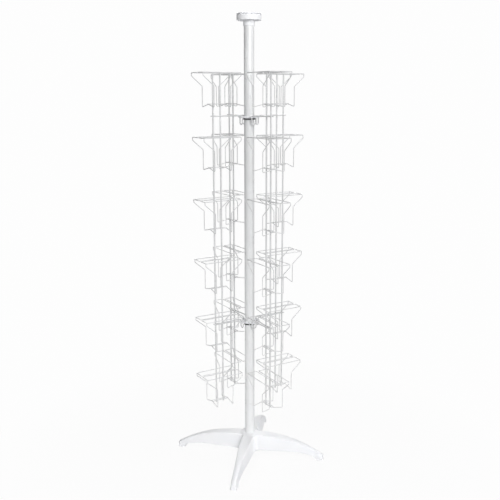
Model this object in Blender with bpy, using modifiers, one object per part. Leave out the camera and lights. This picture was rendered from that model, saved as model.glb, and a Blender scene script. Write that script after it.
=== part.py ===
"""A floor-standing rotating rack for greeting cards, built as an assembly of separate pieces.

A steel tube pole stands in a moulded four-legged base and carries a round cap. Two black
collars on the pole hold up two plastic rings, which turn about the pole on nylon bushes. Four
welded wire panels hook into the rings, and each panel holds a column of two-sided card trays.

Metres, +Z up. The origin is on the floor, on the pole's axis. At rest the four panels stand
along +X, +Y, -X and -Y, and the legs of the base lie between them.
"""
import math

import bmesh
import bpy
from mathutils import Matrix, Vector

# Whole object
TOTAL_HEIGHT = 1.742
GAP = 0.0003  # left between pieces that touch
FOURFOLD = 4

# Base: legs and hub
LEG_TURN = math.radians(47.3)  # first leg, counted from +X
LEG_INNER_R = 0.033
LEG_TIP_R = 0.305
LEG_WALL = 0.0035
LEG_CORNER = 0.006  # rounding between a leg's top and its sides
LEG_CROWN = 0.0012  # rise of the middle of a leg's top over its corners
# One row per section along a leg: distance from the axis, top height, height of the lower
# edge, half width of the top, half width at the lower edge
LEG_SECTIONS = (
    (LEG_INNER_R, 0.0930, 0.0290, 0.0220, 0.0270),
    (0.0750, 0.0905, 0.0305, 0.0215, 0.0270),
    (0.1200, 0.0860, 0.0325, 0.0195, 0.0260),
    (0.1600, 0.0800, 0.0335, 0.0165, 0.0240),
    (0.1980, 0.0710, 0.0320, 0.0130, 0.0205),
    (0.2320, 0.0585, 0.0265, 0.0110, 0.0175),
    (0.2640, 0.0440, 0.0200, 0.0100, 0.0158),
    (0.2800, 0.0358, 0.0030, 0.0095, 0.0150),
    (0.2950, 0.0270, 0.0030, 0.0090, 0.0140),
    (0.3020, 0.0222, 0.0030, 0.0085, 0.0132),
    (LEG_TIP_R, 0.0188, 0.0030, 0.0070, 0.0115),
)
SOCKET_FLOOR = 0.0220
SOCKET_FLOOR_T = 0.0060
SOCKET_TOP = 0.0960
SOCKET_WALL_R = 0.0240
HUB_R = 0.0465
HUB_SKIRT_Z = 0.0260
HUB_WALL = 0.0038
SOCKET_TAPER = 0.0006
# (radius, height) of the hub's dome, from the socket's wall out to the skirt, and of its inside
HUB_DOME = ((SOCKET_WALL_R + SOCKET_TAPER, 0.0953), (0.0300, 0.0942), (0.0395, 0.0905),
            (0.0455, 0.0780))
HUB_INSIDE = ((HUB_R - HUB_WALL - 0.0010, 0.0745), (0.0330, 0.0885), (SOCKET_WALL_R, 0.0915))

# Rubber feet under the leg tips
FOOT_AT_R = 0.2925
FOOT_R = 0.0088
FOOT_PLUG_R = 0.0055
FOOT_FLANGE = 0.0024
FOOT_CHAMFER = 0.0008
FOOT_PLUG_TOP = 0.0100

# Pole, its bottom plug and the bolt that holds it down
POLE_R = 0.0190
POLE_WALL = 0.0015
POLE_TOP = TOTAL_HEIGHT - 0.0270
PLUG_LENGTH = 0.0450
BOLT_R = 0.0050
BOLT_HEAD_R = 0.0090
BOLT_HEAD_T = 0.0065
BOLT_LENGTH = 0.0420
BOLT_OVERLAP = 0.0010  # how far the shank starts inside the head
WASHER_R = 0.0150
WASHER_T = 0.0020

# Cap
CAP_R = 0.0455
CAP_HEIGHT = 0.0255
CAP_WALL = 0.0030
CAP_EDGE = 0.0030
CAP_LOW_EDGE = 0.0010
CAP_CEILING = 0.0040  # thickness of the cap's top
CAP_SPIGOT = 0.0340
SPIGOT_TAPER = 0.0020
SLEEVE_R = 0.0213
SLEEVE_HEIGHT = 0.0180

# Turning rings, their bushes and the collars under them
RING_HEIGHTS = {"lower": 0.5655, "upper": 1.3655}  # lower face of each ring
RING_R = 0.0245
RING_HEIGHT = 0.0078
RING_LIP = 0.0016  # thickness of the lip that covers the bush
RUNNING_GAP = 0.0004  # between the pole and what turns on it
LIP_GAP = 0.0008
BUSH_R = 0.0210
LUG_R = 0.0345  # middle of the slot in each lug
LUG_REACH = (0.0225, 0.0403)
LUG_WIDTH = 0.0285
LUG_RISE = 0.0070
LUG_SINK = 0.0030  # a lug's lower face is this far above the ring's
SLOT_SIZE = (0.0058, 0.0240)
SLOT_CUT = 0.0500
COLLAR_R = 0.0255
COLLAR_HEIGHT = 0.0042
SCREW_R = 0.0013

# Wire panels
PANEL_R = 0.1380  # middle of a panel's two uprights
UPRIGHT_SPACING = 0.0300
UPRIGHT_R = 0.0030
HOOK_WIRE_R = 0.00225
HOOK_REACH = 0.1605
HOOK_ABOVE_RING = {"lower": 0.0165, "upper": 0.0097}  # only the upper hooks carry the panel
HOOK_DROP = 0.0320
HOOK_HALF = 0.0090  # half width of the tongue that drops into a lug
HOOK_WELD = 0.0005  # how far the hook wires sink into the uprights
HOOK_BEND = 0.0045  # radius of the bend where a leg turns down
HOOK_NARROWS = (0.0640, 0.0250)  # where a leg reaches the tongue's width, and starts to narrow
TONGUE_TURN = math.radians(40)  # middle point of each side of the tongue's round end

# Card trays
TIERS = 6
TIER_PITCH = 0.2300
LOWEST_TRAY = 0.2580
TRAY_WIRE_R = 0.0015
TRAY_HALF_BASE = 0.0340
TRAY_HALF_RIM = 0.0770
TRAY_DEPTH = 0.0460
TRAY_APEX = 0.0100
TRAY_KNEE = 0.0740
TRAY_RIM = 0.1210
TRAY_LIP = 0.0110

WIRE_STEP = 0.0004  # keeps the faces of crossing wires apart, so that they join cleanly

# Tray wires are drawn square, with the area of the round wire
WIRE_CORNER = TRAY_WIRE_R * math.sqrt(math.pi / 2)
TRAY_BACK = UPRIGHT_R + WIRE_CORNER + GAP
OVER_TOP_RIM = 0.0025
UNDER_LOWEST_SPINE = 0.0080
PANEL_TOP = LOWEST_TRAY + (TIERS - 1) * TIER_PITCH + TRAY_RIM + OVER_TOP_RIM
PANEL_BOTTOM = LOWEST_TRAY + TRAY_APEX - UNDER_LOWEST_SPINE

ROUND_STEPS = 24
SMALL_STEPS = 12


def clear_scene():
    for item in list(bpy.data.objects):
        bpy.data.objects.remove(item, do_unlink=True)


def make_material(name, colour, roughness, metallic=0.0):
    material = bpy.data.materials.new(name)
    material.use_nodes = True
    shader = material.node_tree.nodes["Principled BSDF"]
    shader.inputs["Base Color"].default_value = (*colour, 1.0)
    shader.inputs["Roughness"].default_value = roughness
    shader.inputs["Metallic"].default_value = metallic
    return material


def add_object(name, data, material=None):
    """A new object in the rack's collection."""
    item = bpy.data.objects.new(name, data)
    RACK.objects.link(item)
    if material is not None:
        data.materials.clear()
        data.materials.append(material)
    return item


def baked(item, *tools):
    """The mesh of an object with its modifiers applied; the object and its tools are removed."""
    bpy.context.view_layer.update()
    graph = bpy.context.evaluated_depsgraph_get()
    mesh = bpy.data.meshes.new_from_object(item.evaluated_get(graph))
    mesh.transform(item.matrix_world)
    for used in (item, *tools):
        bpy.data.objects.remove(used, do_unlink=True)
    return mesh


def combine(item, others, operation):
    """The mesh of an item with the others added to it or cut from it."""
    for other in others:
        modifier = item.modifiers.new(operation.title(), "BOOLEAN")
        modifier.operation = operation
        modifier.solver = "EXACT"
        modifier.object = other
    return baked(item, *others)


def smooth(mesh, angle=40):
    mesh.shade_smooth()
    mesh.set_sharp_from_angle(angle=math.radians(angle))


def turned(name, profile, steps=ROUND_STEPS):
    """A solid turned about Z from a closed profile of (radius, height) points."""
    mesh = bpy.data.meshes.new(name)
    points = [(radius, 0.0, height) for radius, height in profile]
    count = len(points)
    on_axis = profile[0][0] == 0.0 and profile[-1][0] == 0.0
    edges = [(i, i + 1) for i in range(count - 1)]
    if not on_axis:
        edges.append((count - 1, 0))
    mesh.from_pydata(points, edges, [])
    item = add_object(name, mesh)
    screw = item.modifiers.new("Screw", "SCREW")
    screw.axis = "Z"
    screw.steps = steps
    screw.render_steps = steps
    screw.use_merge_vertices = True
    screw.merge_threshold = 0.00001
    solid = baked(item)
    smooth(solid)
    return solid


def ring_profile(outer, inner, bottom, top):
    """Down the outer side, then up the bore."""
    return [(outer, top), (outer, bottom), (inner, bottom), (inner, top)]


def box(name, low, high):
    """A block between two corners, for adding or cutting."""
    bpy.ops.mesh.primitive_cube_add(size=1.0)
    item = bpy.context.object
    item.name = name
    size = Vector(high) - Vector(low)
    middle = (Vector(high) + Vector(low)) / 2
    item.data.transform(Matrix.Translation(middle) @ Matrix.Diagonal((*size, 1.0)))
    return item


def rod(name, radius, start, end, sides=SMALL_STEPS):
    """A round bar between two points."""
    axis = Vector(end) - Vector(start)
    mesh = bpy.data.meshes.new(name)
    shape = bmesh.new()
    turn = axis.to_track_quat("Z", "Y").to_matrix().to_4x4()
    place = Matrix.Translation((Vector(start) + Vector(end)) / 2) @ turn
    bmesh.ops.create_cone(
        shape, cap_ends=True, segments=sides, radius1=radius, radius2=radius,
        depth=axis.length, matrix=place,
    )
    shape.to_mesh(mesh)
    shape.free()
    return add_object(name, mesh)


def wire(name, points, radius, sides_level, closed=False):
    """A bent wire as a mesh object, swept along straight runs between points."""
    curve = bpy.data.curves.new(name, "CURVE")
    curve.dimensions = "3D"
    curve.bevel_depth = radius
    curve.bevel_resolution = sides_level
    curve.use_fill_caps = True
    spline = curve.splines.new("POLY")
    spline.points.add(len(points) - 1)
    for knot, point in zip(spline.points, points):
        knot.co = (*point, 1.0)
    spline.use_cyclic_u = closed
    mesh = baked(add_object(name, curve))
    shape = bmesh.new()
    shape.from_mesh(mesh)
    bmesh.ops.remove_doubles(shape, verts=shape.verts, dist=0.00001)
    bmesh.ops.recalc_face_normals(shape, faces=shape.faces)
    shape.to_mesh(mesh)
    shape.free()
    return add_object(name, mesh)


def leg_section(r, top, low, half_top, half_low):
    """One U-shaped section of a leg, from one lower edge over the top to the other."""
    side = [
        Vector((r, half_low, low)),
        Vector((r, half_top, top - LEG_CORNER)),
        Vector((r, half_top - LEG_CORNER, top - LEG_CROWN)),
    ]
    other_side = [Vector((p.x, -p.y, p.z)) for p in reversed(side)]
    return [*side, Vector((r, 0.0, top)), *other_side]


def leg_shell():
    """One arched leg along +X: an open skin with a closed tip, given its wall thickness."""
    shape = bmesh.new()
    rows = []
    for section in LEG_SECTIONS:
        rows.append([shape.verts.new(point) for point in leg_section(*section)])
    for near, far in zip(rows, rows[1:]):
        for i in range(len(near) - 1):
            shape.faces.new((near[i], near[i + 1], far[i + 1], far[i]))
    shape.faces.new(rows[-1])
    bmesh.ops.recalc_face_normals(shape, faces=shape.faces)
    shape.faces.ensure_lookup_table()
    if shape.faces[-1].normal.x < 0:
        bmesh.ops.reverse_faces(shape, faces=shape.faces)
    mesh = bpy.data.meshes.new("leg")
    shape.to_mesh(mesh)
    shape.free()
    item = add_object("leg", mesh)
    wall = item.modifiers.new("Wall", "SOLIDIFY")
    wall.thickness = LEG_WALL
    wall.offset = -1.0
    wall.use_even_offset = True
    return baked(item)


def hub_mesh():
    """The moulded hub: a round skirt, a domed top and the socket that takes the pole."""
    bore = POLE_R + GAP
    hole = BOLT_R + GAP
    floor_top = SOCKET_FLOOR + SOCKET_FLOOR_T
    return turned("hub", [
        (SOCKET_WALL_R - SOCKET_TAPER, SOCKET_TOP),
        *HUB_DOME,
        (HUB_R, HUB_SKIRT_Z),
        (HUB_R - HUB_WALL, HUB_SKIRT_Z),
        *HUB_INSIDE,
        (SOCKET_WALL_R, SOCKET_FLOOR),
        (hole, SOCKET_FLOOR),
        (hole, floor_top),
        (bore, floor_top),
        (bore, SOCKET_TOP),
    ])


def build_base(plastic, rubber):
    """The four-legged base and the rubber foot under each leg tip."""
    hub = add_object("hub", hub_mesh())
    shell = leg_shell()
    legs = []
    for i in range(FOURFOLD):
        leg = add_object(f"leg_{i + 1}", shell)
        leg.rotation_euler.z = LEG_TURN + i * math.tau / FOURFOLD
        legs.append(leg)
    star = combine(hub, legs, "UNION")
    smooth(star, 30)
    add_object("base_star", star, plastic)

    foot = turned("foot", [
        (0.0, FOOT_PLUG_TOP),
        (FOOT_PLUG_R, FOOT_PLUG_TOP),
        (FOOT_PLUG_R, FOOT_FLANGE),
        (FOOT_R, FOOT_FLANGE),
        (FOOT_R, FOOT_CHAMFER),
        (FOOT_R - FOOT_CHAMFER, 0.0),
        (0.0, 0.0),
    ], SMALL_STEPS)
    for i in range(FOURFOLD):
        angle = LEG_TURN + i * math.tau / FOURFOLD
        pad = add_object(f"foot_pad_{i + 1}", foot, rubber)
        pad.location = (FOOT_AT_R * math.cos(angle), FOOT_AT_R * math.sin(angle), 0.0)


def build_pole(paint, steel):
    """The pole, its bottom plug, and the bolt and washer that hold it in the socket."""
    foot = SOCKET_FLOOR + SOCKET_FLOOR_T + GAP
    tube = turned("pole", ring_profile(POLE_R, POLE_R - POLE_WALL, foot, POLE_TOP))
    add_object("pole", tube, paint)

    plug_r = POLE_R - POLE_WALL - GAP
    plug = turned("pole_plug", ring_profile(plug_r, BOLT_R + GAP, foot, foot + PLUG_LENGTH))
    add_object("pole_plug", plug, steel)

    washer_top = SOCKET_FLOOR - GAP
    head_top = washer_top - WASHER_T - GAP
    washer = turned("base_washer", ring_profile(
        WASHER_R, BOLT_R + GAP, washer_top - WASHER_T, washer_top))
    add_object("base_washer", washer, steel)

    head = rod("head", BOLT_HEAD_R, (0, 0, head_top - BOLT_HEAD_T), (0, 0, head_top), 6)
    shank_low = head_top - BOLT_OVERLAP
    shank = rod("shank", BOLT_R, (0, 0, shank_low), (0, 0, head_top + BOLT_LENGTH))
    bolt = combine(head, [shank], "UNION")
    smooth(bolt)
    add_object("base_bolt", bolt, steel)


def build_cap(plastic):
    """The round cap, hollow underneath, and the sleeve below it that covers the tube's end."""
    low = TOTAL_HEIGHT - CAP_HEIGHT
    ceiling = TOTAL_HEIGHT - CAP_CEILING
    bevel = 0.3 * CAP_EDGE
    spigot = POLE_R - POLE_WALL - GAP
    tip = low - CAP_SPIGOT
    cap = turned("cap_disc", [
        (0.0, TOTAL_HEIGHT),
        (CAP_R - CAP_EDGE, TOTAL_HEIGHT),
        (CAP_R - bevel, TOTAL_HEIGHT - bevel),
        (CAP_R, TOTAL_HEIGHT - CAP_EDGE),
        (CAP_R, low + CAP_LOW_EDGE),
        (CAP_R - CAP_LOW_EDGE, low),
        (CAP_R - CAP_WALL, low),
        (CAP_R - CAP_WALL, ceiling),
        (SLEEVE_R, ceiling),
        (SLEEVE_R, low),
        (POLE_R, low),
        (POLE_R, POLE_TOP + GAP),
        (spigot, POLE_TOP + GAP),
        (spigot, tip + SPIGOT_TAPER),
        (spigot - SPIGOT_TAPER, tip),
        (0.0, tip),
    ])
    add_object("cap_disc", cap, plastic)
    top = min(low, POLE_TOP) - GAP
    sleeve = turned("cap_sleeve", ring_profile(
        SLEEVE_R, POLE_R + GAP, top - SLEEVE_HEIGHT, top))
    add_object("cap_sleeve", sleeve, plastic)


def ring_mesh():
    """A turning ring that stands on Z = 0: a hub with a lip over its bush, and a slotted lug
    for each panel."""
    bore = BUSH_R + GAP
    lip_bore = POLE_R + LIP_GAP
    lip_low = RING_HEIGHT - RING_LIP
    hub = add_object("hub", turned("hub", [
        (RING_R, RING_HEIGHT),
        (RING_R, 0.0),
        (bore, 0.0),
        (bore, lip_low),
        (lip_bore, lip_low),
        (lip_bore, RING_HEIGHT),
    ]))
    inner, outer = LUG_REACH
    slot_length, slot_width = SLOT_SIZE
    lugs = []
    slots = []
    for i in range(FOURFOLD):
        turn = Matrix.Rotation(i * math.tau / FOURFOLD, 4, "Z")
        lug = box("lug", (inner, -LUG_WIDTH / 2, LUG_SINK), (outer, LUG_WIDTH / 2, LUG_RISE))
        slot = box(
            "slot",
            (LUG_R - slot_length / 2, -slot_width / 2, -SLOT_CUT),
            (LUG_R + slot_length / 2, slot_width / 2, SLOT_CUT),
        )
        for item, group in ((lug, lugs), (slot, slots)):
            item.data.transform(turn)
            group.append(item)
    body = add_object("body", combine(hub, lugs, "UNION"))
    ring = combine(body, slots, "DIFFERENCE")
    smooth(ring, 30)
    return ring


def build_rings(plastic, nylon, steel):
    """Both turning rings with their bushes, and the collar and screw under each."""
    ring = ring_mesh()
    bush_top = RING_HEIGHT - RING_LIP - GAP
    bush = turned("bush", ring_profile(BUSH_R, POLE_R + RUNNING_GAP, 0.0, bush_top))
    collar_top = -GAP
    collar_low = collar_top - COLLAR_HEIGHT
    collar_bore = POLE_R + GAP
    screw_z = (collar_top + collar_low) / 2
    collar_ring = add_object("collar_ring", turned(
        "collar_ring", ring_profile(COLLAR_R, collar_bore, collar_low, collar_top)))
    hole_from = (0, collar_bore / 2, screw_z)
    hole_to = (0, COLLAR_R + collar_bore / 2, screw_z)
    hole = rod("hole", SCREW_R + GAP, hole_from, hole_to)
    collar = combine(collar_ring, [hole], "DIFFERENCE")
    smooth(collar, 30)
    screw = baked(rod("screw", SCREW_R, (0, collar_bore, screw_z), (0, COLLAR_R, screw_z)))
    smooth(screw)
    pieces = (("ring", ring, plastic), ("bush", bush, nylon),
              ("collar", collar, nylon), ("collar_screw", screw, steel))
    for level, height in RING_HEIGHTS.items():
        for kind, mesh, material in pieces:
            item = add_object(f"{level}_{kind}", mesh, material)
            item.location.z = height
            item.parent = CAROUSEL if kind in ("ring", "bush") else None


def hook_points(height):
    """The bent wire that carries a panel: two legs along the uprights, and a tongue between
    them that drops into a ring's lug."""
    weld = UPRIGHT_R + HOOK_WIRE_R - HOOK_WELD
    low = height - HOOK_DROP
    narrow_at, narrows_before = HOOK_NARROWS
    in_bend = 0.27 * HOOK_BEND
    turn_y = HOOK_HALF * math.cos(TONGUE_TURN)
    turn_z = HOOK_HALF * (1 - math.sin(TONGUE_TURN))
    leg = [
        (HOOK_REACH, weld, height),
        (PANEL_R - narrows_before, weld, height),
        (narrow_at, HOOK_HALF, height),
        (LUG_R + HOOK_BEND, HOOK_HALF, height),
        (LUG_R + in_bend, HOOK_HALF, height - in_bend),
        (LUG_R, HOOK_HALF, height - HOOK_BEND),
        (LUG_R, HOOK_HALF, low + HOOK_HALF),
        (LUG_R, turn_y, low + turn_z),
    ]
    other_leg = [(x, -y, z) for x, y, z in reversed(leg)]
    return [*leg, (LUG_R, 0.0, low), *other_leg]


def panel_frame_mesh():
    """Two uprights and the two hook wires welded to them, as one piece along +X."""
    uprights = []
    for side in (-1, 1):
        x = PANEL_R + side * UPRIGHT_SPACING / 2
        uprights.append(rod("upright", UPRIGHT_R, (x, 0, PANEL_BOTTOM), (x, 0, PANEL_TOP), 8))
    hooks = [
        wire("hook", hook_points(height + HOOK_ABOVE_RING[level]), HOOK_WIRE_R, 1)
        for level, height in RING_HEIGHTS.items()
    ]
    frame = combine(uprights[0], [*hooks, uprights[1]], "UNION")
    smooth(frame, 50)
    return frame


def tray_end_points(direction):
    """One end wire of a tray. It drops from the rim through an outward flare to a corner,
    rises over the panel and comes up again on the other face."""
    base = PANEL_R + direction * TRAY_HALF_BASE
    rim = PANEL_R + direction * TRAY_HALF_RIM
    half = [
        (rim, TRAY_DEPTH, TRAY_RIM + WIRE_STEP),
        (rim, TRAY_DEPTH, TRAY_RIM - TRAY_LIP),
        (base, TRAY_DEPTH, TRAY_KNEE),
        (base, TRAY_DEPTH, 0.0),
    ]
    other_half = [(x, -y, z) for x, y, z in reversed(half)]
    return [*half, (base, 0.0, TRAY_APEX), *other_half]


def tray_rim_points(side):
    """The closed rim of the pocket on one face of the panel."""
    near = side * TRAY_BACK
    far = side * TRAY_DEPTH
    inner = PANEL_R - TRAY_HALF_RIM
    outer = PANEL_R + TRAY_HALF_RIM
    return [(inner, near, TRAY_RIM), (outer, near, TRAY_RIM),
            (outer, far, TRAY_RIM), (inner, far, TRAY_RIM)]


def tray_mesh():
    """One two-sided card tray along +X, with its lowest corners at Z = 0."""
    pieces = [wire("end", tray_end_points(direction), WIRE_CORNER, 0) for direction in (-1, 1)]
    for side in (-1, 1):
        pieces.append(wire("rim", tray_rim_points(side), WIRE_CORNER, 0, closed=True))
        y = side * TRAY_BACK
        reach = TRAY_HALF_BASE + WIRE_CORNER / 2
        z = TRAY_APEX + WIRE_STEP
        spine = [(PANEL_R - reach, y, z), (PANEL_R + reach, y, z)]
        pieces.append(wire("spine", spine, WIRE_CORNER, 0))
    return combine(pieces[0], pieces[1:], "UNION")


def build_panels(coat):
    """Four panels about the axis, each a frame with its column of trays."""
    frame = panel_frame_mesh()
    tray = tray_mesh()
    for i in range(FOURFOLD):
        panel = f"panel_{i + 1}"
        hanger = bpy.data.objects.new(f"{panel}_axis", None)
        RACK.objects.link(hanger)
        hanger.parent = CAROUSEL
        hanger.rotation_euler.z = i * math.tau / FOURFOLD
        add_object(f"{panel}_frame", frame, coat).parent = hanger
        for tier in range(TIERS):
            item = add_object(f"{panel}_tray_{tier + 1}", tray, coat)
            item.parent = hanger
            item.location.z = LOWEST_TRAY + tier * TIER_PITCH


clear_scene()
RACK = bpy.data.collections.new("rotating_display_rack")
bpy.context.scene.collection.children.link(RACK)
CAROUSEL = bpy.data.objects.new("carousel_axis", None)
RACK.objects.link(CAROUSEL)

WHITE = (0.86, 0.87, 0.88)
white_paint = make_material("pole_paint", WHITE, 0.34)
wire_coat = make_material("wire_coat", (0.88, 0.88, 0.88), 0.30)
white_plastic = make_material("moulded_plastic", (0.87, 0.87, 0.88), 0.42)
black_nylon = make_material("black_nylon", (0.03, 0.03, 0.03), 0.45)
grey_rubber = make_material("foot_rubber", (0.60, 0.60, 0.59), 0.80)
zinc_steel = make_material("zinc_steel", (0.60, 0.61, 0.63), 0.35, 1.0)

build_base(white_plastic, grey_rubber)
build_pole(white_paint, zinc_steel)
build_cap(white_plastic)
build_rings(white_plastic, black_nylon, zinc_steel)
build_panels(wire_coat)
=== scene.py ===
"""The looks of a floor-standing rotating card rack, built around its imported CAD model.

Every piece is made in metres in the CAD's own frame and rides on a CAD body. Its place and its
outer size come from the box of the CAD node that it stands for. The white powder coat, moulded
plastic, nylon, rubber and zinc are node materials.
"""
import math

import bmesh
import bpy
from mathutils import Matrix, Vector, noise


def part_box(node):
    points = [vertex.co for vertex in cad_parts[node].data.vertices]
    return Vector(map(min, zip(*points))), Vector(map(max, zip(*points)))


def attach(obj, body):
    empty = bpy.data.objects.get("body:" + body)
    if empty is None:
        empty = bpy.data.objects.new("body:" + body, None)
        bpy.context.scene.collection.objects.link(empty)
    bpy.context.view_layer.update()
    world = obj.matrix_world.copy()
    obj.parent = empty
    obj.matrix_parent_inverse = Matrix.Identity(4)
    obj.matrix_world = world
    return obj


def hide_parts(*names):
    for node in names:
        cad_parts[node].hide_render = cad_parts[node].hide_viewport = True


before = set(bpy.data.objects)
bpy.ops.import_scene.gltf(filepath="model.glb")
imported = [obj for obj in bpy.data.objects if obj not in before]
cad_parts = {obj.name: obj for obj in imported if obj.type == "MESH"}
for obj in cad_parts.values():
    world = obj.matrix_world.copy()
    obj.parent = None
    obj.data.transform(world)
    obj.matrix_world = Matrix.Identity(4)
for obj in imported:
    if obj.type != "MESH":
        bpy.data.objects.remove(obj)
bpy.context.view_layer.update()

FOURFOLD = 4
PANELS = range(1, FOURFOLD + 1)
TIERS = range(1, 7)
LEVELS = ("lower", "upper")
FINE_STEPS = 96
SMALL_STEPS = 48


# Mesh tools ---------------------------------------------------------------------------------

def arc(before, corner, after, bend):
    """Points of the arc that rounds one corner of a path."""
    towards_before = (before - corner).normalized()
    towards_after = (after - corner).normalized()
    turn = math.pi - towards_before.angle(towards_after)
    if bend <= 0.0 or turn < math.radians(1.0):
        return [corner]
    tangent = bend * math.tan(turn / 2)
    limit = 0.49 * min((before - corner).length, (after - corner).length)
    if tangent > limit:
        bend *= limit / tangent
        tangent = limit
    middle = (towards_before + towards_after).normalized()
    centre = corner + middle * (bend / math.cos(turn / 2))
    first = corner + towards_before * tangent - centre
    last = corner + towards_after * tangent - centre
    count = max(2, math.ceil(turn / math.radians(15)))
    found = []
    for k in range(count + 1):
        share = k / count
        blend = (math.sin((1 - share) * turn) * first + math.sin(share * turn) * last)
        found.append(centre + blend / math.sin(turn))
    return found


def rounded(points, bends, closed=False):
    """A path with its corners rounded. Bends is one radius, or one for each point."""
    points = [Vector(p) for p in points]
    count = len(points)
    if not isinstance(bends, (list, tuple)):
        bends = [bends] * count
    path = []
    for i, corner in enumerate(points):
        if not closed and i in (0, count - 1):
            path.append(corner)
            continue
        path += arc(points[i - 1], corner, points[(i + 1) % count], bends[i])
    return path


def with_round_ends(path, radius):
    """(point, share of the radius) along an open wire whose cut ends are slightly rounded."""
    ease = 0.35 * radius
    ends = []
    for tip, inner in ((path[0], path[1]), (path[-1], path[-2])):
        inwards = (inner - tip).normalized()
        ends.append([
            (tip, 1 - 0.35),
            (tip + inwards * ease * 0.3, 1 - 0.35 * 0.3),
            (tip + inwards * ease, 1.0),
        ])
    return ends[0] + [(p, 1.0) for p in path[1:-1]] + ends[1][::-1]


def wire(points, radius, bends=0.0, closed=False, smoothness=3):
    """The mesh of a bent round wire."""
    path = rounded(points, bends, closed)
    knots = [(p, 1.0) for p in path] if closed else with_round_ends(path, radius)
    curve = bpy.data.curves.new("wire", "CURVE")
    curve.dimensions = "3D"
    curve.bevel_depth = radius
    curve.bevel_resolution = smoothness
    curve.use_fill_caps = True
    spline = curve.splines.new("POLY")
    spline.points.add(len(knots) - 1)
    for knot, (point, share) in zip(spline.points, knots):
        knot.co = (*point, 1.0)
        knot.radius = share
    spline.use_cyclic_u = closed
    item = bpy.data.objects.new("wire", curve)
    bpy.context.scene.collection.objects.link(item)
    bpy.context.view_layer.update()
    graph = bpy.context.evaluated_depsgraph_get()
    mesh = bpy.data.meshes.new_from_object(item.evaluated_get(graph))
    bpy.data.objects.remove(item, do_unlink=True)
    return mesh


def turned(profile, steps=FINE_STEPS, closed=True):
    """A mesh turned about Z from (radius, height, rounding) corners."""
    points = [(radius, 0.0, height) for radius, height, _ in profile]
    outline = rounded(points, [bend for _, _, bend in profile], closed)
    shape = bmesh.new()
    verts = [shape.verts.new(p) for p in outline]
    edges = [shape.edges.new(pair) for pair in zip(verts, verts[1:])]
    if closed:
        edges.append(shape.edges.new((verts[-1], verts[0])))
    bmesh.ops.spin(
        shape, geom=verts + edges, cent=(0, 0, 0), axis=(0, 0, 1), angle=math.tau,
        steps=steps, use_merge=True,
    )
    return finished(shape)


def finished(shape, weld=0.000002):
    """The mesh of a bmesh, welded, with its faces turned outwards."""
    bmesh.ops.remove_doubles(shape, verts=shape.verts, dist=weld)
    bmesh.ops.recalc_face_normals(shape, faces=shape.faces)
    mesh = bpy.data.meshes.new("part")
    shape.to_mesh(mesh)
    shape.free()
    return mesh


def weld_bead(at, size, seed):
    """A small uneven lump of weld metal under the coat."""
    shape = bmesh.new()
    bmesh.ops.create_icosphere(shape, subdivisions=2, radius=1.0)
    for vert in shape.verts:
        wobble = noise.noise(vert.co * 1.3 + Vector((seed, seed * 0.7, 0.0)))
        vert.co *= 1.0 + 0.12 * wobble
    place = Matrix.Translation(at) @ Matrix.Diagonal((*size, 1.0))
    bmesh.ops.transform(shape, matrix=place, verts=shape.verts)
    return finished(shape)


def merged(meshes):
    """Several meshes as one."""
    shape = bmesh.new()
    for mesh in meshes:
        shape.from_mesh(mesh)
        bpy.data.meshes.remove(mesh)
    return finished(shape)


def smooth(mesh, angle=35):
    mesh.shade_smooth()
    mesh.set_sharp_from_angle(angle=math.radians(angle))
    return mesh


def place(name, mesh, material, body, slot, stands_for, matrix=None):
    """A new piece that rides on a body and stands for CAD nodes."""
    if not mesh.materials:
        mesh.materials.append(material)
    item = bpy.data.objects.new(name, mesh)
    bpy.context.scene.collection.objects.link(item)
    if matrix is not None:
        item.matrix_world = matrix
    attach(item, body)
    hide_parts(*stands_for)
    return item


# Materials ----------------------------------------------------------------------------------

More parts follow.
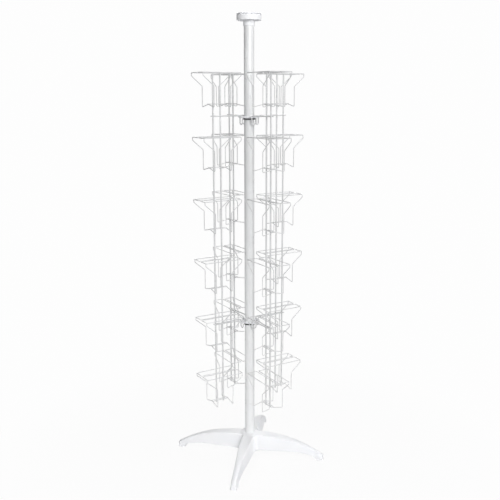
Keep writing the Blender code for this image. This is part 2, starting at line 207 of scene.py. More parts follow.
class Finish:
    """A Principled material and the nodes that vary it over a surface."""

    def __init__(self, name, roughness=0.5, metallic=0.0, coat=0.0, coat_roughness=0.1):
        self.material = bpy.data.materials.new(name)
        self.material.use_nodes = True
        self.tree = self.material.node_tree
        self.shader = self.tree.nodes["Principled BSDF"]
        self.shader.inputs["Roughness"].default_value = roughness
        self.shader.inputs["Metallic"].default_value = metallic
        self.shader.inputs["Coat Weight"].default_value = coat
        self.shader.inputs["Coat Roughness"].default_value = coat_roughness
        self.place = self.node("ShaderNodeTexCoord").outputs["Object"]
        self.height = None

    def node(self, kind, **inputs):
        made = self.tree.nodes.new(kind)
        for name, value in inputs.items():
            self.feed(made.inputs[name.replace("_", " ")], value)
        return made

    def feed(self, socket, value):
        if isinstance(value, bpy.types.NodeSocket):
            self.tree.links.new(value, socket)
        else:
            socket.default_value = value

    def stretched(self, scale):
        """The surface's coordinates, scaled by a factor for each axis."""
        return self.node("ShaderNodeMapping", Vector=self.place, Scale=scale).outputs[0]

    def noise(self, scale, detail=2.0, roughness=0.5, at=None):
        made = self.node(
            "ShaderNodeTexNoise", Vector=at or self.place, Scale=scale, Detail=detail,
            Roughness=roughness,
        )
        return made.outputs[0]

    def mapped(self, value, low, high, new_low, new_high):
        made = self.node("ShaderNodeMapRange", Value=value)
        for name, number in (("From Min", low), ("From Max", high),
                             ("To Min", new_low), ("To Max", new_high)):
            made.inputs[name].default_value = number
        return made.outputs[0]

    def mixed(self, share, first, second):
        made = self.tree.nodes.new("ShaderNodeMix")
        made.data_type = "RGBA"
        self.feed(made.inputs["Factor"], share)
        for name, colour in (("A", first), ("B", second)):
            sockets = [s for s in made.inputs if s.name == name and s.type == "RGBA"]
            self.feed(sockets[0], (*colour, 1.0) if isinstance(colour, tuple) else colour)
        return [s for s in made.outputs if s.type == "RGBA"][0]

    def emission(self, strength):
        made = self.node("ShaderNodeEmission")
        made.inputs["Color"].default_value = (1.0, 1.0, 1.0, 1.0)
        made.inputs["Strength"].default_value = strength
        return made.outputs[0]

    def blend(self, share, first, second):
        """Two shaders mixed; the share is the second one's."""
        made = self.tree.nodes.new("ShaderNodeMixShader")
        for socket, value in zip(made.inputs, (share, first, second)):
            self.feed(socket, value)
        return made.outputs[0]

    def colour(self, value):
        self.feed(self.shader.inputs["Base Color"], value)

    def rough(self, value):
        self.feed(self.shader.inputs["Roughness"], value)

    def bump(self, height, distance, strength=1.0):
        """Adds one layer of relief, in metres."""
        made = self.node("ShaderNodeBump", Height=height, Strength=strength)
        made.inputs["Distance"].default_value = distance
        if self.height is not None:
            self.tree.links.new(self.height, made.inputs["Normal"])
        self.height = made.outputs[0]
        self.feed(self.shader.inputs["Normal"], self.height)


def powder_coat(name, white, peel, roughness):
    """White powder coat: slight shifts of tone, and the fine ripple that bakes into it."""
    finish = Finish(name, roughness, coat=0.12, coat_roughness=0.20)
    darker = tuple(0.955 * c for c in white)
    warmer = (white[0], white[1] * 0.996, white[2] * 0.986)
    drift = finish.mapped(finish.noise(7.0, 3.0), 0.35, 0.65, 0.0, 1.0)
    speck = finish.mapped(finish.noise(900.0, 1.0), 0.56, 0.70, 0.0, 0.55)
    tone = finish.mixed(drift, white, warmer)
    finish.colour(finish.mixed(speck, tone, darker))
    patchy = finish.noise(38.0, 4.0, 0.6)
    finish.rough(finish.mapped(patchy, 0.3, 0.7, roughness - 0.05, roughness + 0.07))
    finish.bump(finish.noise(peel, 2.0, 0.45), 0.00022, 0.35)
    finish.bump(finish.noise(peel * 5.5, 1.0), 0.00003, 0.30)
    return finish.material


def moulded_plastic(name, white):
    """White moulded plastic: spark-eroded grain, faint flow marks and a soft sheen."""
    finish = Finish(name, 0.50)
    finish.shader.inputs["Specular IOR Level"].default_value = 0.35
    flow = finish.noise(5.0, 4.0, 0.6, finish.stretched((1.0, 1.0, 3.0)))
    cooler = (white[0] * 0.965, white[1] * 0.972, white[2] * 0.985)
    finish.colour(finish.mixed(finish.mapped(flow, 0.35, 0.65, 0.0, 1.0), white, cooler))
    grain = finish.noise(1500.0, 2.0, 0.55)
    finish.rough(finish.mapped(grain, 0.3, 0.7, 0.46, 0.60))
    finish.bump(finish.noise(26.0, 2.0), 0.0006, 0.12)
    finish.bump(grain, 0.00005, 0.55)
    return finish.material


def turned_nylon(name, black):
    """Black nylon with the fine rings left by the lathe."""
    finish = Finish(name, 0.42)
    finish.shader.inputs["Specular IOR Level"].default_value = 0.30
    tone = finish.mapped(finish.noise(160.0, 3.0), 0.3, 0.7, 0.0, 1.0)
    finish.colour(finish.mixed(tone, black, tuple(1.9 * c for c in black)))
    finish.rough(finish.mapped(finish.noise(420.0, 2.0), 0.3, 0.7, 0.34, 0.52))
    finish.bump(finish.noise(40.0, 2.0, 0.6, finish.stretched((1.0, 1.0, 60.0))), 0.00006, 0.6)
    return finish.material


def rubber(name, grey):
    """Matt rubber with a bloom of dust."""
    finish = Finish(name, 0.80)
    dust = finish.mapped(finish.noise(90.0, 5.0, 0.65), 0.45, 0.75, 0.0, 0.5)
    finish.colour(finish.mixed(dust, grey, tuple(0.82 * c for c in grey)))
    finish.rough(finish.mapped(finish.noise(300.0, 2.0), 0.3, 0.7, 0.72, 0.92))
    finish.bump(finish.noise(1100.0, 2.0), 0.00008, 0.6)
    return finish.material


def zinc(name, grey):
    """Bright zinc plate on turned steel."""
    finish = Finish(name, 0.34, metallic=1.0)
    cloud = finish.mapped(finish.noise(130.0, 3.0), 0.35, 0.65, 0.0, 1.0)
    warmer = (grey[0] * 1.08, grey[1] * 1.03, grey[2] * 0.90)
    finish.colour(finish.mixed(cloud, grey, warmer))
    finish.rough(finish.mapped(finish.noise(220.0, 3.0), 0.3, 0.7, 0.26, 0.46))
    lines = finish.noise(60.0, 3.0, 0.6, finish.stretched((1.0, 1.0, 40.0)))
    finish.bump(lines, 0.00004, 0.5)
    return finish.material


pole_paint = powder_coat("pole_paint", (0.86, 0.87, 0.88), 300.0, 0.30)
# The wires carry the same white powder coat as the pole. Their darker base colour is painted
# shade, standing in for how thin wires fall darker in the light.
wire_coat = powder_coat("wire_coat", (0.74, 0.745, 0.755), 620.0, 0.28)
white_plastic = moulded_plastic("moulded_plastic", (0.925, 0.93, 0.945))
black_nylon = turned_nylon("black_nylon", (0.016, 0.016, 0.017))
foot_rubber = rubber("foot_rubber", (0.60, 0.60, 0.59))
zinc_steel = zinc("zinc_steel", (0.60, 0.61, 0.63))


# Base ---------------------------------------------------------------------------------------

LEG_TURN = math.radians(47.3)  # first leg, counted from +X
SHELL = 0.0035
# Driving sections of a leg: distance from the axis, top height, half width of the top, height
# of the lower edge, half width there
SECTIONS = (
    (0.030, 0.0930, 0.0220, 0.0290, 0.0270),
    (0.075, 0.0905, 0.0215, 0.0305, 0.0270),
    (0.120, 0.0860, 0.0195, 0.0325, 0.0260),
    (0.160, 0.0800, 0.0165, 0.0335, 0.0240),
    (0.198, 0.0710, 0.0130, 0.0320, 0.0205),
    (0.232, 0.0585, 0.0110, 0.0265, 0.0175),
    (0.264, 0.0440, 0.0100, 0.0200, 0.0158),
    (0.295, 0.0270, 0.0090, 0.0150, 0.0140),
    (0.305, 0.0210, 0.0085, 0.0130, 0.0130),
)
CROWN = 0.0010  # how far the middle of a leg's top stands above these heights
EDGE_R = 0.0040  # rounding between a leg's top and its sides
LEG_TIP_R = SECTIONS[-1][0]
TIP_CORNER_R = 0.0045  # rounding of the tip in plan
TIP_LEAN = 0.12  # how far the tip's top edge stands back, as a share of its rounding
FOOT_BLOCK = (0.2655, 0.2800)  # where the lower edge drops to the foot
FOOT_EDGE_Z = 0.0030

# Between the legs
BLEND_R = 0.024  # rounding in plan where two legs meet
DIAGONAL_R = 0.050  # the skin takes the section at this distance there
DIAGONAL_SINK = 0.0035
SKIRT_Z = 0.026
DOME_R = 0.038  # the hub's dome starts here, inside the legs' roots
DOME_Z = 0.0920
HUB_BLEND = (0.050, 0.105)  # where a leg's top grows out of the dome
SOCKET_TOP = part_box("base_star")[1].z

SIDE_ROWS, CORNER_ROWS, TOP_ROWS = 6, 6, 8
TIP_STEPS, SIDE_STEPS, BLEND_STEPS = 8, 56, 12

BOLT_HOLE_R = 0.0054
FOOT_PLUG_R = 0.0055
FOOT_FLANGE = 0.0024


def clamped(share):
    return min(max(share, 0.0), 1.0)


def eased(value, start, end):
    """0 before the start, 1 after the end, and a smooth step between them."""
    t = clamped((value - start) / (end - start))
    return t * t * (3 - 2 * t)


def section_at(r):
    """Top height, half width of the top, lower height and half width there, at distance r."""
    rows = SECTIONS
    i = 0
    while i < len(rows) - 2 and r > rows[i + 1][0]:
        i += 1
    before = rows[max(i - 1, 0)]
    here, there = rows[i], rows[i + 1]
    after = rows[min(i + 2, len(rows) - 1)]
    span = there[0] - here[0]
    t = clamped((r - here[0]) / span)
    values = []
    for k in range(1, 5):
        slope_in = (there[k] - before[k]) / (there[0] - before[0]) * span
        slope_out = (after[k] - here[k]) / (after[0] - here[0]) * span
        values.append(
            (2 * t**3 - 3 * t**2 + 1) * here[k] + (t**3 - 2 * t**2 + t) * slope_in
            + (3 * t**2 - 2 * t**3) * there[k] + (t**3 - t**2) * slope_out
        )
    values[2] += (FOOT_EDGE_Z - values[2]) * eased(r, *FOOT_BLOCK)
    return values


def hub_share(r):
    """1 at the hub, falling to 0 a little way along a leg."""
    return 1.0 - eased(r, *HUB_BLEND)


def outline_at(station, half, nose):
    """A point of the plan outline with the given half width of a leg. Stations 0 to 1 go round
    the tip's corner, 1 to 2 go along the side, and 2 to 3 round the blend to the diagonal."""
    if station < 1.0:
        reach = min(nose, half * 0.95)
        flat = half - reach
        along = station * (flat + reach * math.pi / 2)
        if along <= flat:
            return LEG_TIP_R, along
        angle = (along - flat) / reach
        return LEG_TIP_R - reach * (1 - math.cos(angle)), flat + reach * math.sin(angle)
    centre = half + BLEND_R
    if station <= 2.0:
        start = LEG_TIP_R - min(nose, half * 0.95)
        return start + (centre - start) * (station - 1.0), half
    angle = math.radians(-90 - 45 * (station - 2.0))
    return centre + BLEND_R * math.cos(angle), centre + BLEND_R * math.sin(angle)


def rim_centre(rim, half_top):
    """The point of a leg's middle line that lies across from a point of its top's edge."""
    share = hub_share(rim.x)
    shift = share * (half_top - EDGE_R + BLEND_R - DOME_R)
    x = min(rim.x, LEG_TIP_R - 0.010) - shift
    leg_top = section_at(max(x, SECTIONS[0][0]))[0] + CROWN
    return Vector((x, 0.0, leg_top * (1 - share) + DOME_Z * share))


def skin_line(station):
    """One line of the base's skin: up the side, round the top edge and in to the middle."""
    on_leg = station < 2.0
    typical_half = section_at(0.20)[1]
    r = outline_at(station, typical_half, 0.004)[0] if on_leg else DIAGONAL_R
    top, half_top, low, half_low = section_at(r)
    edge = min(EDGE_R, (top - low) * 0.42, half_top * 0.62)
    round_blend = clamped(station - 2.0)
    top_edge = top - DIAGONAL_SINK * round_blend * round_blend
    low_edge = low + (SKIRT_Z - low) * round_blend
    line = []
    for k in range(SIDE_ROWS):
        share = k / SIDE_ROWS
        half = half_low + (half_top - half_low) * share
        x, y = outline_at(station, half, TIP_CORNER_R)
        line.append(Vector((x, y, low_edge + (top_edge - edge - low_edge) * share)))
    for k in range(CORNER_ROWS + 1):
        angle = math.pi / 2 * k / CORNER_ROWS
        half = half_top - edge * (1 - math.cos(angle))
        x, y = outline_at(station, half, TIP_CORNER_R)
        if station < 1.0:
            x -= edge * TIP_LEAN * (1 - math.cos(angle))
        line.append(Vector((x, y, top_edge - edge * (1 - math.sin(angle)))))
    rim = line[-1]
    if station <= 2.0:
        inner = rim_centre(rim, half_top)
    else:
        angle = math.radians(45) * (station - 2.0)
        inner = Vector((DOME_R * math.cos(angle), DOME_R * math.sin(angle), DOME_Z))
    for k in range(1, TOP_ROWS + 1):
        share = k / TOP_ROWS
        point = rim.lerp(inner, share)
        point.z = rim.z + (inner.z - rim.z) * (1 - (1 - share) ** 2)
        line.append(point)
    return line


def dome_lines():
    """The hub's dome and the collar that rises round the pole, as lines round an eighth."""
    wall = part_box("pole")[1].x + 0.0009
    profile = (
        (DOME_R, DOME_Z, 0.0), (0.0300, 0.0942, 0.010), (0.0246, 0.0950, 0.002),
        (0.0236, SOCKET_TOP, 0.0005), (wall, SOCKET_TOP, 0.0005),
        (wall, SOCKET_TOP - 0.004, 0.0),
    )
    outline = rounded([(r, 0.0, z) for r, z, _ in profile], [bend for _, _, bend in profile])
    turns = [math.radians(45) * k / BLEND_STEPS for k in range(BLEND_STEPS + 1)]
    return [
        [Vector((p.x * math.cos(turn), p.x * math.sin(turn), p.z)) for turn in turns]
        for p in outline
    ]


def base_patch():
    """One eighth of the base's outer skin: from the middle of a leg to the diagonal."""
    stations = [k / TIP_STEPS for k in range(TIP_STEPS)]
    stations += [1 + k / SIDE_STEPS for k in range(SIDE_STEPS)]
    stations += [2 + k / BLEND_STEPS for k in range(BLEND_STEPS + 1)]
    shape = bmesh.new()
    for lines in ([skin_line(station) for station in stations], dome_lines()):
        rows = [[shape.verts.new(p) for p in line] for line in lines]
        for here, there in zip(rows, rows[1:]):
            for k in range(len(here) - 1):
                shape.faces.new((here[k], there[k], there[k + 1], here[k + 1]))
    return finished(shape)


def base_mesh():
    """The whole moulded base, as a shell that is open underneath."""
    patch = base_patch()
    shape = bmesh.new()
    for i in range(FOURFOLD):
        turn = Matrix.Rotation(LEG_TURN + i * math.tau / FOURFOLD, 4, "Z")
        for side in (1.0, -1.0):
            piece = patch.copy()
            piece.transform(turn @ Matrix.Diagonal((1.0, side, 1.0, 1.0)))
            if side < 0:
                piece.flip_normals()
            shape.from_mesh(piece)
            bpy.data.meshes.remove(piece)
    bmesh.ops.dissolve_degenerate(shape, edges=shape.edges, dist=0.000005)
    skin = finished(shape, 0.00002)
    item = bpy.data.objects.new("skin", skin)
    bpy.context.scene.collection.objects.link(item)
    wall = item.modifiers.new("wall", "SOLIDIFY")
    wall.thickness = SHELL
    wall.offset = -1.0
    wall.use_even_offset = False
    bpy.context.view_layer.update()
    graph = bpy.context.evaluated_depsgraph_get()
    shell = bpy.data.meshes.new_from_object(item.evaluated_get(graph))
    bpy.data.objects.remove(item, do_unlink=True)
    return shell


def build_base():
    """The moulding, with the tube under its hub that holds the pole."""
    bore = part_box("pole")[1].x + 0.0003
    socket_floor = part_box("pole")[0].z - 0.0003
    socket_foot = socket_floor - 0.0060
    under_collar = SOCKET_TOP - 0.0055
    socket = turned([
        (bore + 0.0042, under_collar, 0.0),
        (bore + 0.0047, socket_foot, 0.0015),
        (BOLT_HOLE_R, socket_foot, 0.0005),
        (BOLT_HOLE_R, socket_floor, 0.0005),
        (bore, socket_floor, 0.0003),
        (bore, under_collar, 0.0),
    ])
    moulding = merged([base_mesh(), socket])
    place("base_moulding", smooth(moulding, 40), white_plastic, "stand", "moulded_plastic",
          ["base_star"])


def build_feet():
    """A rubber pad in each leg, with a plug above its flange and a ring-shaped foot below."""
    for i in PANELS:
        low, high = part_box(f"foot_pad_{i}")
        centre = (low + high) / 2
        radius = (high.x - low.x) / 2
        pad = turned([
            (0.0, high.z, 0.0), (FOOT_PLUG_R - 0.0002, high.z, 0.0006),
            (FOOT_PLUG_R, FOOT_FLANGE, 0.0), (radius, FOOT_FLANGE, 0.0005),
            (radius, 0.0, 0.0007), (radius * 0.72, 0.0, 0.0003),
            (radius * 0.68, 0.0005, 0.0003), (radius * 0.30, 0.0005, 0.0003),
            (radius * 0.26, 0.0, 0.0003), (0.0, 0.0, 0.0),
        ], SMALL_STEPS, closed=False)
        place(f"rubber_foot_{i}", smooth(pad), foot_rubber, "stand", "foot_rubber",
              [f"foot_pad_{i}"], Matrix.Translation((centre.x, centre.y, 0.0)))


# Pole and cap -------------------------------------------------------------------------------

TUBE_WALL = 0.0015
CAP_RIBS = 8
RIB_WIDTH = 0.0016


def build_pole():
    low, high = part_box("pole")
    outer = high.x
    inner = outer - TUBE_WALL
    tube = turned([
        (outer, high.z, 0.0004), (outer, low.z, 0.0004),
        (inner, low.z, 0.0002), (inner, high.z, 0.0002),
    ], 128)
    place("pole_tube", smooth(tube), pole_paint, "stand", "pole_paint", ["pole"])


def cap_rib(inner, outer, low, high):
    """A rib along +X under the cap, with eased edges."""
    shape = bmesh.new()
    bmesh.ops.create_cube(shape, size=1.0)
    size = Matrix.Diagonal((outer - inner, RIB_WIDTH, high - low, 1.0))
    middle = Matrix.Translation(((inner + outer) / 2, 0.0, (low + high) / 2))
    bmesh.ops.transform(shape, matrix=middle @ size, verts=shape.verts)
    bmesh.ops.bevel(shape, geom=shape.edges, offset=0.0003, segments=2, affect="EDGES",
                    profile=0.5)
    return finished(shape)


def build_cap():
    """The cap, with a groove below its top edge and ribs in its underside."""
    low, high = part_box("cap_disc")
    sleeve_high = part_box("cap_sleeve")[1]
    pole_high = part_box("pole")[1]
    radius, tube_r, boss = high.x, pole_high.x, sleeve_high.x
    on_tube = pole_high.z + 0.0003
    skirt = sleeve_high.z + 0.0018
    ceiling = skirt + 0.0045
    groove = high.z - 0.0052
    groove_r = radius - 0.0055
    shell = turned([
        (0.0, high.z, 0.0),
        (radius * 0.60, high.z, 0.05),
        (radius - 0.0006, high.z - 0.0004, 0.0030),
        (radius, groove + 0.0010, 0.0003),
        (groove_r, groove + 0.0007, 0.0002),
        (groove_r, groove - 0.0007, 0.0002),
        (radius, groove - 0.0010, 0.0003),
        (radius - 0.0002, skirt, 0.0009),
        (radius - 0.0030, skirt, 0.0007),
        (radius - 0.0036, ceiling, 0.0010),
        (boss, ceiling, 0.0010),
        (boss, skirt, 0.0006),
        (tube_r + 0.0001, skirt, 0.0003),
        (tube_r + 0.0001, on_tube, 0.0),
        (tube_r - 0.0018, on_tube, 0.0),
        (tube_r - 0.0018, low.z + 0.0020, 0.0006),
        (tube_r - 0.0038, low.z, 0.0006),
        (0.0, low.z, 0.0),
    ], closed=False)
    parts = [shell]
    for i in range(CAP_RIBS):
        rib = cap_rib(boss - 0.0002, radius - 0.0030, skirt + 0.0020, ceiling + 0.0005)
        rib.transform(Matrix.Rotation((i + 0.5) * math.tau / CAP_RIBS, 4, "Z"))
        parts.append(rib)
    place("cap_moulding", smooth(merged(parts)), white_plastic, "stand", "moulded_plastic",
          ["cap_disc"])


def build_cap_sleeve():
    """The sleeve below the cap, which narrows a little at its foot."""
    low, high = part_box("cap_sleeve")
    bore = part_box("pole")[1].x + 0.0002
    sleeve = turned([
        (high.x, high.z, 0.0004), (high.x, low.z + 0.0030, 0.0020),
        (high.x - 0.0008, low.z, 0.0007), (bore, low.z, 0.0003), (bore, high.z, 0.0),
    ])
    place("cap_collar", smooth(sleeve), white_plastic, "stand", "moulded_plastic",
          ["cap_sleeve"])


# Rings, bushes and collars ------------------------------------------------------------------

RING_R = 0.0245
LUG_R = 0.0345  # middle of the slot in each lug
LUG_REACH = (0.0225, 0.0403)
LUG_WIDTH = 0.0285
LUG_SINK = 0.0030  # height of a lug's lower face above the ring's
LUG_RISE = 0.0070
SLOT_SIZE = (0.0058, 0.0240)
SCREW_PROUD = 0.0002


def rectangle(length, width, corner, steps=5):
    """The outline of a rounded rectangle, as (x, y) points with the same count each time."""
    points = []
    for quarter in range(4):
        sign_x = 1 if quarter in (0, 3) else -1
        sign_y = 1 if quarter in (0, 1) else -1
        for k in range(steps + 1):
            angle = math.radians(90) * (quarter + k / steps)
            points.append((
                sign_x * (length / 2 - corner) + corner * math.cos(angle),
                sign_y * (width / 2 - corner) + corner * math.sin(angle),
            ))
    return points


def lug_mesh(low, high):
    """One slotted lug along +X, between two heights, with eased edges."""
    length, width = LUG_REACH[1] - LUG_REACH[0], LUG_WIDTH
    middle = sum(LUG_REACH) / 2 - LUG_R
    slot_length, slot_width = SLOT_SIZE
    ease = 0.0008
    outer = ((low, -1.0), (low + ease * 0.3, -0.3), (low + ease, 0.0), (high - ease, 0.0),
             (high - ease * 0.3, -0.3), (high, -1.0))
    inner = ((high, 1.0), (high - ease * 0.3, 0.3), (high - ease, 0.0), (low + ease, 0.0),
             (low + ease * 0.3, 0.3), (low, 1.0))
    shape = bmesh.new()
    rings = []
    for levels, size, corner, shift in ((outer, (length, width), 0.0032, middle),
                                        (inner, (slot_length, slot_width), 0.0014, 0.0)):
        for z, share in levels:
            grow = 2 * ease * share
            outline = rectangle(size[0] + grow, size[1] + grow, corner + grow / 2)
            rings.append([shape.verts.new((x + shift, y, z)) for x, y in outline])
    rings.append(rings[0])
    for here, there in zip(rings, rings[1:]):
        for k in range(len(here)):
            after = (k + 1) % len(here)
            shape.faces.new((here[k], here[after], there[after], there[k]))
    return finished(shape)


def ring_mesh(level):
    """A turning ring: its hub, with a lip over the bush, and a slotted lug for each panel."""
    low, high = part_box(f"{level}_ring")
    bush_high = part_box(f"{level}_bush")[1]
    bore, lip = bush_high.x + 0.0003, bush_high.z + 0.0003
    lip_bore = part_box("pole")[1].x + 0.0008
    parts = [turned([
        (RING_R, high.z, 0.0012), (RING_R, low.z, 0.0006),
        (bore, low.z, 0.0003), (bore, lip, 0.0002),
        (lip_bore, lip, 0.0002), (lip_bore, high.z, 0.0006),
    ])]
    for i in range(FOURFOLD):
        lug = lug_mesh(low.z + LUG_SINK, low.z + LUG_RISE)
        turn = Matrix.Rotation(i * math.tau / FOURFOLD, 4, "Z")
        lug.transform(turn @ Matrix.Translation((LUG_R, 0.0, 0.0)))
        parts.append(lug)
    return merged(parts)


def set_screw_mesh(radius):
    """The end of a set screw with a hexagon socket, facing +Z at Z = 0."""
    shape = bmesh.new()
    corners = 24
    hexagon = radius * 0.62
    levels = (
        (radius * 0.98, -0.0035, False), (radius * 0.98, -0.0004, False),
        (radius * 0.86, -0.0001, False), (hexagon * 1.08, -0.0001, True),
        (hexagon, -0.0003, True), (hexagon, -0.0010, True),
    )
    rings = []
    for size, z, six_sided in levels:
        ring = []
        for k in range(corners):
            angle = math.tau * k / corners
            reach = size
            if six_sided:
                reach = size * math.cos(math.pi / 6) / math.cos(
                    (angle + math.pi / 6) % (math.pi / 3) - math.pi / 6)
            ring.append(shape.verts.new(
                (reach * math.cos(angle), reach * math.sin(angle), z)))
        rings.append(ring)
    for here, there in zip(rings, rings[1:]):
        for k in range(corners):
            after = (k + 1) % corners
            shape.faces.new((here[k], here[after], there[after], there[k]))
    shape.faces.new(rings[0])
    shape.faces.new(rings[-1])
    return finished(shape)


def build_rings():
    """Both rings with their bushes, and the collar and set screw under each."""
    pole_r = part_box("pole")[1].x
    for level in LEVELS:
        place(f"{level}_ring_moulding", smooth(ring_mesh(level)), white_plastic, "carousel",
              "moulded_plastic", [f"{level}_ring"])

        low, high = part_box(f"{level}_bush")
        inner = pole_r + 0.0004
        bush = turned([
            (high.x, high.z, 0.0004), (high.x, low.z, 0.0004),
            (inner, low.z, 0.0005), (inner, high.z, 0.0005),
        ])
        place(f"{level}_bush_turned", smooth(bush), black_nylon, "carousel", "black_nylon",
              [f"{level}_bush"])

        low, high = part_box(f"{level}_collar")
        radius = high.x
        collar = turned([
            (radius, high.z, 0.0006), (radius, low.z, 0.0008),
            (pole_r + 0.0002, low.z, 0.0003), (pole_r + 0.0002, high.z, 0.0003),
        ])
        place(f"{level}_collar_turned", smooth(collar), black_nylon, "stand", "black_nylon",
              [f"{level}_collar"])

        low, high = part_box(f"{level}_collar_screw")
        middle = (low + high) / 2
        screw = set_screw_mesh((high.x - low.x) / 2)
        face_out = Matrix.Rotation(math.radians(-90), 4, "X")
        spot = Matrix.Translation((middle.x, high.y + SCREW_PROUD, middle.z))
        place(f"{level}_set_screw", smooth(screw, 30), zinc_steel, "stand", "zinc_steel",
              [f"{level}_collar_screw"], spot @ face_out)


# Wire panels --------------------------------------------------------------------------------

WIRE_R = 0.0015
UPRIGHT_R = 0.0030
HOOK_WIRE_R = 0.00225
UPRIGHT_SPACING = 0.0300
HOOK_HALF = 0.0090  # half width of the tongue that drops into a lug
HOOK_DROP = 0.0320
HOOK_NARROWS = (0.0640, 0.0250)  # where a leg reaches the tongue's width, and starts to narrow
HOOK_ABOVE_RING = {"lower": 0.0165, "upper": 0.0097}
HALF_BASE = 0.0340  # half a tray's length below the flare
APEX = 0.0100  # height of the end wires between the two faces
KNEE = 0.0740  # height where the flare starts
LIP = 0.0110  # height of the upright lip above the flare
BACK = 0.0046  # distance of the wires against the uprights from the panel's middle plane
CAD_PROUD = 0.0019  # how far the CAD's square wire stands out from its line
CAD_PROUD_BELOW = 0.76 * CAD_PROUD  # at a tray's lowest corners
# Half sizes of the weld beads
HOOK_BEAD = (0.0032, 0.0017, 0.0031)
POST_BEAD = (0.0026, 0.0012, 0.0019)
RIM_BEAD = (0.0017, 0.0017, 0.0014)
TIE_BEAD = (0.0019, 0.0018, 0.0015)


def panel_matrix(panel, height=0.0):
    """Turns a piece made along +X to its panel's side of the rack."""
    turn = Matrix.Rotation((panel - 1) * math.tau / FOURFOLD, 4, "Z")
    return Matrix.Translation((0.0, 0.0, height)) @ turn


def hook(height, reach, middle):
    """The bent wire that hangs the panel on a ring, made along +X."""
    weld = UPRIGHT_R + HOOK_WIRE_R - 0.0006
    low = height - HOOK_DROP
    narrow_at, narrows_before = HOOK_NARROWS
    leg = [
        (reach, weld, height), (middle - narrows_before, weld, height),
        (narrow_at, HOOK_HALF, height), (LUG_R, HOOK_HALF, height),
        (LUG_R, HOOK_HALF, low),
    ]
    bends = [0.0, 0.020, 0.020, 0.0055, HOOK_HALF - 0.0002]
    mirrored = [(x, -y, z) for x, y, z in reversed(leg)]
    return wire([*leg, *mirrored], HOOK_WIRE_R, bends + bends[::-1], smoothness=4)


def panel_frame_mesh():
    """Two uprights and two hooks with their welds, made along +X."""
    low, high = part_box("panel_1_frame")
    tray_low, tray_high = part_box("panel_1_tray_1")
    middle = (tray_low.x + tray_high.x) / 2
    parts = []
    for side in (-1, 1):
        x = middle + side * UPRIGHT_SPACING / 2
        parts.append(wire([(x, 0, low.z), (x, 0, high.z)], UPRIGHT_R, smoothness=6))
    seed = 0.0
    for level in LEVELS:
        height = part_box(f"{level}_ring")[0].z + HOOK_ABOVE_RING[level]
        parts.append(hook(height, high.x, middle))
        for side in (-1, 1):
            for face in (-1, 1):
                seed += 1.7
                spot = (middle + side * UPRIGHT_SPACING / 2, face * 0.0036, height)
                parts.append(weld_bead(spot, HOOK_BEAD, seed))
    return smooth(merged(parts), 50)


def tray_end(base_x, rim_x, depth, rim_z):
    """The bent wire at one end of a tray, from one face's rim over the apex to the other's."""
    half = [
        (rim_x, depth, rim_z - 0.0004), (rim_x, depth, rim_z - LIP),
        (base_x, depth, KNEE), (base_x, depth, 0.0),
    ]
    bends = [0.0, 0.0050, 0.0060, 0.0038]
    mirrored = [(x, -y, z) for x, y, z in reversed(half)]
    path = [*half, (base_x, 0.0, APEX), *mirrored]
    return wire(path, WIRE_R, [*bends, 0.0060, *bends[::-1]])


def tray_mesh():
    """One two-sided card tray along +X, with its lowest corners at Z = 0."""
    low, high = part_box("panel_1_tray_1")
    middle = (low.x + high.x) / 2
    half_rim = (high.x - low.x) / 2 - CAD_PROUD
    depth = high.y - CAD_PROUD
    rim_z = high.z - CAD_PROUD - (low.z + CAD_PROUD_BELOW)
    spine_z = APEX + 0.0006
    parts = [
        tray_end(middle + end * HALF_BASE, middle + end * half_rim, depth, rim_z)
        for end in (-1, 1)
    ]
    seed = 0.0
    for face in (-1, 1):
        near, far = face * BACK, face * depth
        rim = [
            (middle - half_rim, near, rim_z), (middle + half_rim, near, rim_z),
            (middle + half_rim, far, rim_z), (middle - half_rim, far, rim_z),
        ]
        spine_half = HALF_BASE + 0.0012
        spine = [(middle - spine_half, near, spine_z), (middle + spine_half, near, spine_z)]
        parts.append(wire(rim, WIRE_R, 0.0034, closed=True))
        parts.append(wire(spine, WIRE_R))
        for end in (-1, 1):
            seed += 2.3
            corner = (middle + end * (half_rim - 0.0004), face * (depth - 0.0004),
                      rim_z - 0.0016)
            tie = (middle + end * HALF_BASE, near, spine_z - 0.0012)
            parts.append(weld_bead(corner, RIM_BEAD, seed))
            parts.append(weld_bead(tie, TIE_BEAD, seed + 0.6))
            post = middle + end * UPRIGHT_SPACING / 2
            for z in (rim_z, spine_z):
                parts.append(weld_bead((post, face * 0.0032, z), POST_BEAD, seed + z * 90))
    return smooth(merged(parts), 50)


def build_panels():
    frame_mesh = panel_frame_mesh()
    tray = tray_mesh()
    for panel in PANELS:
        body = f"panel_{panel}"
        place(f"{body}_wires", frame_mesh, wire_coat, body, "wire_coat",
              [f"{body}_frame"], panel_matrix(panel))
        for tier in TIERS:
            node = f"{body}_tray_{tier}"
            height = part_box(node)[0].z + CAD_PROUD_BELOW
            place(f"{node}_wires", tray, wire_coat, body, "wire_coat", [node],
                  panel_matrix(panel, height))


# Hidden steel keeps its CAD shape -----------------------------------------------------------

def finish_hidden_steel():
    for node in ("pole_plug", "base_bolt", "base_washer"):
        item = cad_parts[node]
        item.data.materials.clear()
        item.data.materials.append(zinc_steel)


# Studio -------------------------------------------------------------------------------------

CAMERA_AZIMUTH = math.radians(-30.7)
CAMERA_DISTANCE = 2.6958
CAMERA_HEIGHT = 1.4383
CAMERA_PITCH = math.radians(12.11)
CAMERA_ROLL = math.radians(-0.12)
LENS = 50.87  # on a 36 mm sensor
CAMERA_SHIFT = 0.00107
BACKDROP = 0.985
FLOOR_LIGHT = 0.55  # what the floor throws back up
FLOOR_SHADE = 0.06  # share of the floor's look, near the object, that takes shadows
WORLD_LIGHT = (0.40, 0.08)
DARK_SIDE = -120.0  # degrees to the right of the camera
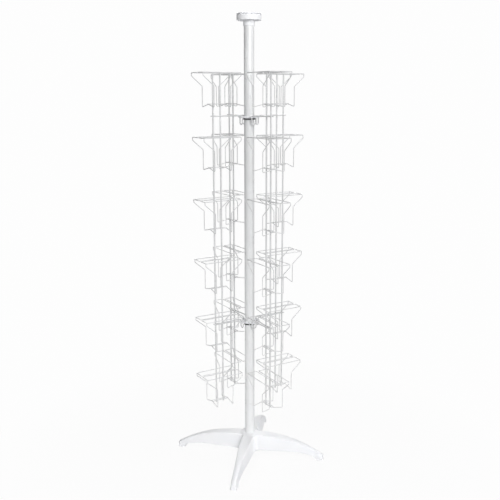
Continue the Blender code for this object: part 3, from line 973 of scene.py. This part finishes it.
# Degrees to the right of the camera, distance, height, height aimed at, size, watts, and spread
# in degrees
SOFTBOXES = {
    "key": (18.0, 3.2, 2.5, 0.80, (1.2, 1.4), 62, 180),
    "base_fill": (-30.0, 1.6, 0.72, 0.02, (0.9, 0.6), 1.68, 76),
    "base_back_fill": (160.0, 1.1, 1.5, 0.05, (0.8, 0.8), 0.15, 70),
    "base_side_fill": (76.0, 1.6, 0.5, 0.03, (0.6, 0.3), 0.30, 36),
    "cap_fill": (38.0, 1.6, 1.80, 1.750, (0.5, 0.3), 0.045, 14),
    "cap_top_fill": (0.0, 0.4, 3.20, 1.750, (0.3, 0.3), 0.075, 8),
    "rear_fill": (180.0, 3.2, 1.8, 0.90, (1.2, 1.6), 38, 180),
}


def build_floor():
    """A round pale floor. It looks almost as bright as the backdrop, with a faint contact
    shadow near the object, and throws a softer light back up."""
    shape = bmesh.new()
    bmesh.ops.create_circle(shape, cap_ends=True, segments=128, radius=14.0)
    floor = bpy.data.objects.new("floor", finished(shape))
    bpy.context.scene.collection.objects.link(floor)
    finish = Finish("pale_floor", 0.9)
    reach = finish.node("ShaderNodeVectorMath")
    reach.operation = "LENGTH"
    finish.feed(reach.inputs[0], finish.place)
    near = finish.mapped(reach.outputs["Value"], 0.4, 1.1, FLOOR_SHADE, 0.0)
    seen = finish.emission(BACKDROP)
    lit = finish.node("ShaderNodeBsdfDiffuse")
    lit.inputs["Color"].default_value = (1.0, 1.0, 1.0, 1.0)
    looks = finish.blend(near, seen, lit.outputs[0])
    is_seen = finish.node("ShaderNodeLightPath").outputs["Is Camera Ray"]
    shader = finish.blend(is_seen, finish.emission(FLOOR_LIGHT), looks)
    finish.feed(finish.tree.nodes["Material Output"].inputs["Surface"], shader)
    finish.tree.nodes.remove(finish.shader)
    floor.data.materials.append(finish.material)


def build_world():
    """Soft light from all round, weak from the left and the rear, before a plain backdrop."""
    world = bpy.data.worlds.new("studio")
    bpy.context.scene.world = world
    world.use_nodes = True
    nodes, links = world.node_tree.nodes, world.node_tree.links
    nodes.clear()
    direction = nodes.new("ShaderNodeTexCoord").outputs["Generated"]
    facing = nodes.new("ShaderNodeVectorMath")
    facing.operation = "DOT_PRODUCT"
    links.new(direction, facing.inputs[0])
    facing.inputs[1].default_value = from_camera(DARK_SIDE)
    shade = nodes.new("ShaderNodeMapRange")
    shade.interpolation_type = "SMOOTHSTEP"
    links.new(facing.outputs["Value"], shade.inputs["Value"])
    for name, number in (("From Min", -0.35), ("From Max", 0.85),
                         ("To Min", WORLD_LIGHT[0]), ("To Max", WORLD_LIGHT[1])):
        shade.inputs[name].default_value = number
    light = nodes.new("ShaderNodeBackground")
    links.new(shade.outputs[0], light.inputs["Strength"])
    light.inputs["Color"].default_value = (1.0, 1.0, 1.0, 1.0)
    backdrop = nodes.new("ShaderNodeBackground")
    backdrop.inputs["Color"].default_value = (BACKDROP, BACKDROP, BACKDROP, 1.0)
    seen = nodes.new("ShaderNodeLightPath").outputs["Is Camera Ray"]
    blend = nodes.new("ShaderNodeMixShader")
    links.new(seen, blend.inputs[0])
    links.new(light.outputs[0], blend.inputs[1])
    links.new(backdrop.outputs[0], blend.inputs[2])
    output = nodes.new("ShaderNodeOutputWorld")
    links.new(blend.outputs[0], output.inputs["Surface"])


def from_camera(degrees):
    """A level direction, counted from the camera's side of the object towards its right."""
    angle = CAMERA_AZIMUTH + math.radians(degrees)
    return Vector((math.sin(angle), -math.cos(angle), 0.0))


def softbox(name, degrees, distance, height, aim, size, power, spread):
    """A soft rectangle of light that stands in a level direction from the object."""
    data = bpy.data.lights.new(name, "AREA")
    data.shape = "RECTANGLE"
    data.size, data.size_y = size
    data.energy = power
    data.spread = math.radians(spread)
    lamp = bpy.data.objects.new(name, data)
    lamp.location = from_camera(degrees) * distance + Vector((0.0, 0.0, height))
    aim = Vector((0.0, 0.0, aim))
    lamp.rotation_euler = (aim - lamp.location).to_track_quat("-Z", "Y").to_euler()
    lamp.visible_camera = False
    bpy.context.scene.collection.objects.link(lamp)


def build_camera():
    data = bpy.data.cameras.new("camera")
    data.lens = LENS
    data.sensor_width = 36.0
    data.shift_x = CAMERA_SHIFT
    camera = bpy.data.objects.new("camera", data)
    spot = from_camera(0.0) * CAMERA_DISTANCE + Vector((0.0, 0.0, CAMERA_HEIGHT))
    camera.matrix_world = (
        Matrix.Translation(spot)
        @ Matrix.Rotation(CAMERA_AZIMUTH, 4, "Z")
        @ Matrix.Rotation(math.pi / 2 - CAMERA_PITCH, 4, "X")
        @ Matrix.Rotation(CAMERA_ROLL, 4, "Z")
    )
    bpy.context.scene.collection.objects.link(camera)
    bpy.context.scene.camera = camera


def build_studio():
    build_floor()
    build_world()
    for name, setting in SOFTBOXES.items():
        softbox(name, *setting)
    build_camera()
    bpy.context.scene.view_settings.view_transform = "Standard"


build_base()
build_feet()
build_pole()
build_cap()
build_cap_sleeve()
build_rings()
build_panels()
finish_hidden_steel()
build_studio()
